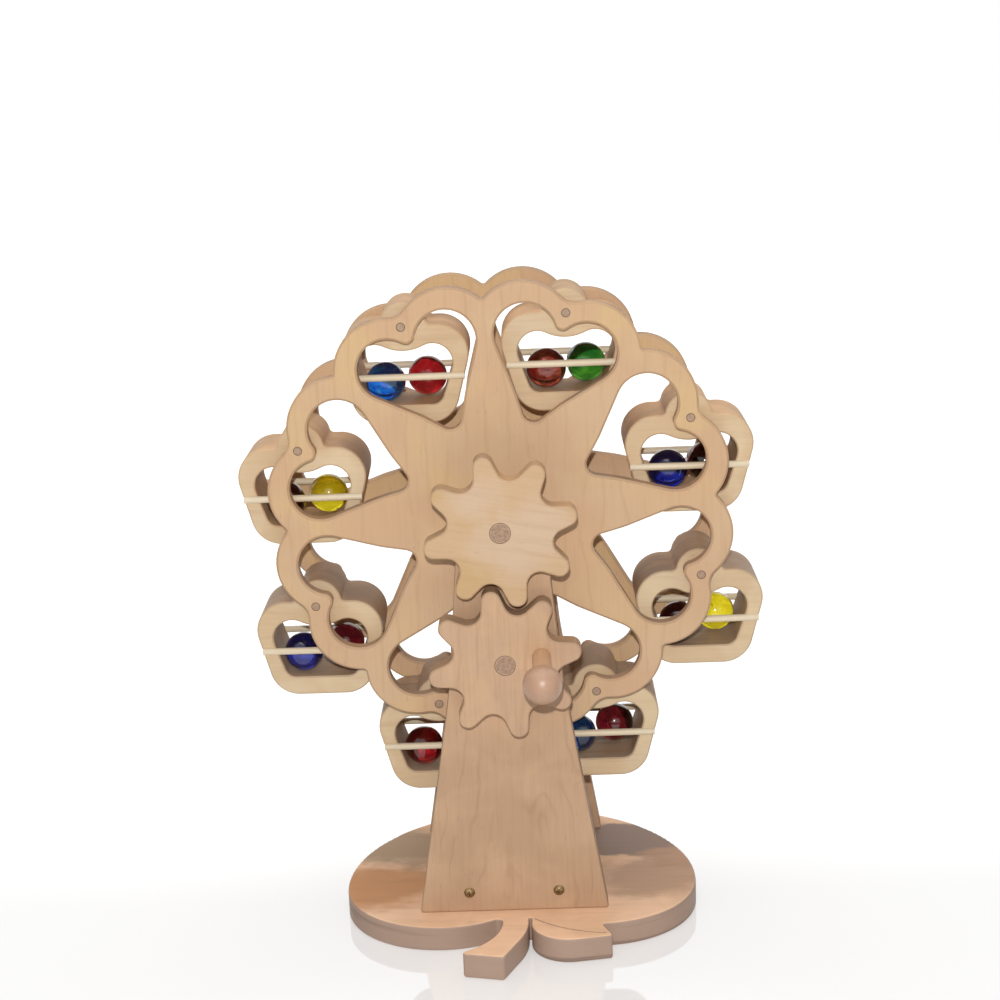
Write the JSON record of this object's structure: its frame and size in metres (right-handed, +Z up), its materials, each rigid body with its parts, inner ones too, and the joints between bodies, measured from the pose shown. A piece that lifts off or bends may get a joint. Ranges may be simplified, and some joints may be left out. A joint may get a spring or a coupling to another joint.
{
  "type": "crank ferris wheel toy",
  "caption": "Hand-cranked wooden Ferris wheel toy: heart-pierced discs carry hanging gondolas of glass marbles, driven by finger gears on a round base.",
  "frame": {"origin": "on the underside of the base board, straight below the middle of the wheel and midway between its discs", "axes": "+Z up; the crank and gears are on the -Y side; the wheel and the crank turn about axes parallel to Y"},
  "size_m": [0.2246, 0.166, 0.2839],
  "materials": {
    "base_wood": "satin, oiled",
    "post_wood": "satin, oiled",
    "disc_wood": "satin, oiled",
    "gear_wood": "satin, oiled",
    "gondola_wood": "satin, oiled",
    "dowel_wood": "satin, oiled",
    "knob_wood": "satin, oiled",
    "screw_brass": "dull, antiqued",
    "cobalt_glass": "polished, clear coloured",
    "blue_glass": "polished, clear coloured",
    "dark_red_glass": "polished, clear coloured",
    "red_glass": "polished, clear coloured",
    "amber_glass": "polished, clear coloured",
    "green_glass": "polished, clear coloured",
    "yellow_glass": "polished, clear coloured"
  },
  "bodies": {
    "stand": {"base_board": "base_wood", "base_screws": "screw_brass", "foot_block": "post_wood", "front_post": "post_wood", "rear_post": "post_wood", "front_post_screws": "screw_brass", "rear_post_screws": "screw_brass"},
    "wheel": {"wheel_axle": "dowel_wood", "wheel_gear": "gear_wood", "wheel_washer": "dowel_wood", "front_disc": "disc_wood", "rear_disc": "disc_wood", "wheel_front_hub": "dowel_wood", "wheel_rear_hub": "dowel_wood", "gondola_pins": "dowel_wood"},
    "crank": {"crank_axle": "dowel_wood", "crank_gear": "gear_wood", "crank_washer": "dowel_wood", "crank_collar": "dowel_wood", "crank_peg": "dowel_wood", "crank_knob": "knob_wood"},
    "gondola_1_car": {"gondola_1": "gondola_wood", "gondola_rails_1": "dowel_wood"},
    "marble_1_left": {"marble_1_left": "cobalt_glass"},
    "marble_1_right": {"marble_1_right": "dark_red_glass"},
    "gondola_2_car": {"gondola_2": "gondola_wood", "gondola_rails_2": "dowel_wood"},
    "marble_2_left": {"marble_2_left": "amber_glass"},
    "marble_2_right": {"marble_2_right": "green_glass"},
    "gondola_3_car": {"gondola_3": "gondola_wood", "gondola_rails_3": "dowel_wood"},
    "marble_3_left": {"marble_3_left": "blue_glass"},
    "marble_3_right": {"marble_3_right": "red_glass"},
    "gondola_4_car": {"gondola_4": "gondola_wood", "gondola_rails_4": "dowel_wood"},
    "marble_4_left": {"marble_4_left": "dark_red_glass"},
    "marble_4_right": {"marble_4_right": "yellow_glass"},
    "gondola_5_car": {"gondola_5": "gondola_wood", "gondola_rails_5": "dowel_wood"},
    "marble_5_left": {"marble_5_left": "cobalt_glass"},
    "marble_5_right": {"marble_5_right": "dark_red_glass"},
    "gondola_6_car": {"gondola_6": "gondola_wood", "gondola_rails_6": "dowel_wood"},
    "marble_6_left": {"marble_6_left": "red_glass"},
    "marble_6_right": {"marble_6_right": "green_glass"},
    "gondola_7_car": {"gondola_7": "gondola_wood", "gondola_rails_7": "dowel_wood"},
    "marble_7_left": {"marble_7_left": "blue_glass"},
    "marble_7_right": {"marble_7_right": "dark_red_glass"},
    "gondola_8_car": {"gondola_8": "gondola_wood", "gondola_rails_8": "dowel_wood"},
    "marble_8_left": {"marble_8_left": "dark_red_glass"},
    "marble_8_right": {"marble_8_right": "yellow_glass"}
  },
  "joints": [
    {"name": "wheel_spin", "type": "hinge", "parent": "stand", "child": "wheel", "pos_m": [0, 0, 0.185], "axis": [0, 1, 0], "continuous": true},
    {"name": "crank_spin", "type": "hinge", "parent": "stand", "child": "crank", "pos_m": [0, 0, 0.128], "axis": [0, 1, 0], "continuous": true},
    {"name": "gondola_1_swing", "type": "hinge", "parent": "wheel", "child": "gondola_1_car", "pos_m": [0.08123, 0, 0.22375], "axis": [0, 1, 0], "continuous": true},
    {"name": "marble_1_left_roll", "type": "slide", "parent": "gondola_1_car", "child": "marble_1_left", "axis": [0, 1, 0], "range_m": [0, 0.01252]},
    {"name": "marble_1_right_roll", "type": "slide", "parent": "gondola_1_car", "child": "marble_1_right", "axis": [0, 1, 0], "range_m": [-0.01252, 0]},
    {"name": "gondola_2_swing", "type": "hinge", "parent": "wheel", "child": "gondola_2_car", "pos_m": [0.03004, 0, 0.26984], "axis": [0, 1, 0], "continuous": true},
    {"name": "marble_2_left_roll", "type": "slide", "parent": "gondola_2_car", "child": "marble_2_left", "axis": [0, 1, 0], "range_m": [0, 0.01252]},
    {"name": "marble_2_right_roll", "type": "slide", "parent": "gondola_2_car", "child": "marble_2_right", "axis": [0, 1, 0], "range_m": [-0.01252, 0]},
    {"name": "gondola_3_swing", "type": "hinge", "parent": "wheel", "child": "gondola_3_car", "pos_m": [-0.03875, 0, 0.26623], "axis": [0, 1, 0], "continuous": true},
    {"name": "marble_3_left_roll", "type": "slide", "parent": "gondola_3_car", "child": "marble_3_left", "axis": [0, 1, 0], "range_m": [0, 0.01252]},
    {"name": "marble_3_right_roll", "type": "slide", "parent": "gondola_3_car", "child": "marble_3_right", "axis": [0, 1, 0], "range_m": [-0.01252, 0]},
    {"name": "gondola_4_swing", "type": "hinge", "parent": "wheel", "child": "gondola_4_car", "pos_m": [-0.08484, 0, 0.21504], "axis": [0, 1, 0], "continuous": true},
    {"name": "marble_4_left_roll", "type": "slide", "parent": "gondola_4_car", "child": "marble_4_left", "axis": [0, 1, 0], "range_m": [0, 0.01252]},
    {"name": "marble_4_right_roll", "type": "slide", "parent": "gondola_4_car", "child": "marble_4_right", "axis": [0, 1, 0], "range_m": [-0.01252, 0]},
    {"name": "gondola_5_swing", "type": "hinge", "parent": "wheel", "child": "gondola_5_car", "pos_m": [-0.08123, 0, 0.14625], "axis": [0, 1, 0], "continuous": true},
    {"name": "marble_5_left_roll", "type": "slide", "parent": "gondola_5_car", "child": "marble_5_left", "axis": [0, 1, 0], "range_m": [0, 0.01252]},
    {"name": "marble_5_right_roll", "type": "slide", "parent": "gondola_5_car", "child": "marble_5_right", "axis": [0, 1, 0], "range_m": [-0.01252, 0]},
    {"name": "gondola_6_swing", "type": "hinge", "parent": "wheel", "child": "gondola_6_car", "pos_m": [-0.03004, 0, 0.10016], "axis": [0, 1, 0], "continuous": true},
    {"name": "marble_6_left_roll", "type": "slide", "parent": "gondola_6_car", "child": "marble_6_left", "axis": [0, 1, 0], "range_m": [0, 0.01252]},
    {"name": "marble_6_right_roll", "type": "slide", "parent": "gondola_6_car", "child": "marble_6_right", "axis": [0, 1, 0], "range_m": [-0.01252, 0]},
    {"name": "gondola_7_swing", "type": "hinge", "parent": "wheel", "child": "gondola_7_car", "pos_m": [0.03875, 0, 0.10377], "axis": [0, 1, 0], "continuous": true},
    {"name": "marble_7_left_roll", "type": "slide", "parent": "gondola_7_car", "child": "marble_7_left", "axis": [0, 1, 0], "range_m": [0, 0.01252]},
    {"name": "marble_7_right_roll", "type": "slide", "parent": "gondola_7_car", "child": "marble_7_right", "axis": [0, 1, 0], "range_m": [-0.01252, 0]},
    {"name": "gondola_8_swing", "type": "hinge", "parent": "wheel", "child": "gondola_8_car", "pos_m": [0.08484, 0, 0.15496], "axis": [0, 1, 0], "continuous": true},
    {"name": "marble_8_left_roll", "type": "slide", "parent": "gondola_8_car", "child": "marble_8_left", "axis": [0, 1, 0], "range_m": [0, 0.01252]},
    {"name": "marble_8_right_roll", "type": "slide", "parent": "gondola_8_car", "child": "marble_8_right", "axis": [0, 1, 0], "range_m": [-0.01252, 0]}
  ],
  "couplings": [
    {"joint": "crank_spin", "follows": "wheel_spin", "ratio": -1},
    {"joint": "gondola_1_swing", "follows": "wheel_spin", "ratio": -1},
    {"joint": "gondola_2_swing", "follows": "wheel_spin", "ratio": -1},
    {"joint": "gondola_3_swing", "follows": "wheel_spin", "ratio": -1},
    {"joint": "gondola_4_swing", "follows": "wheel_spin", "ratio": -1},
    {"joint": "gondola_5_swing", "follows": "wheel_spin", "ratio": -1},
    {"joint": "gondola_6_swing", "follows": "wheel_spin", "ratio": -1},
    {"joint": "gondola_7_swing", "follows": "wheel_spin", "ratio": -1},
    {"joint": "gondola_8_swing", "follows": "wheel_spin", "ratio": -1}
  ]
}
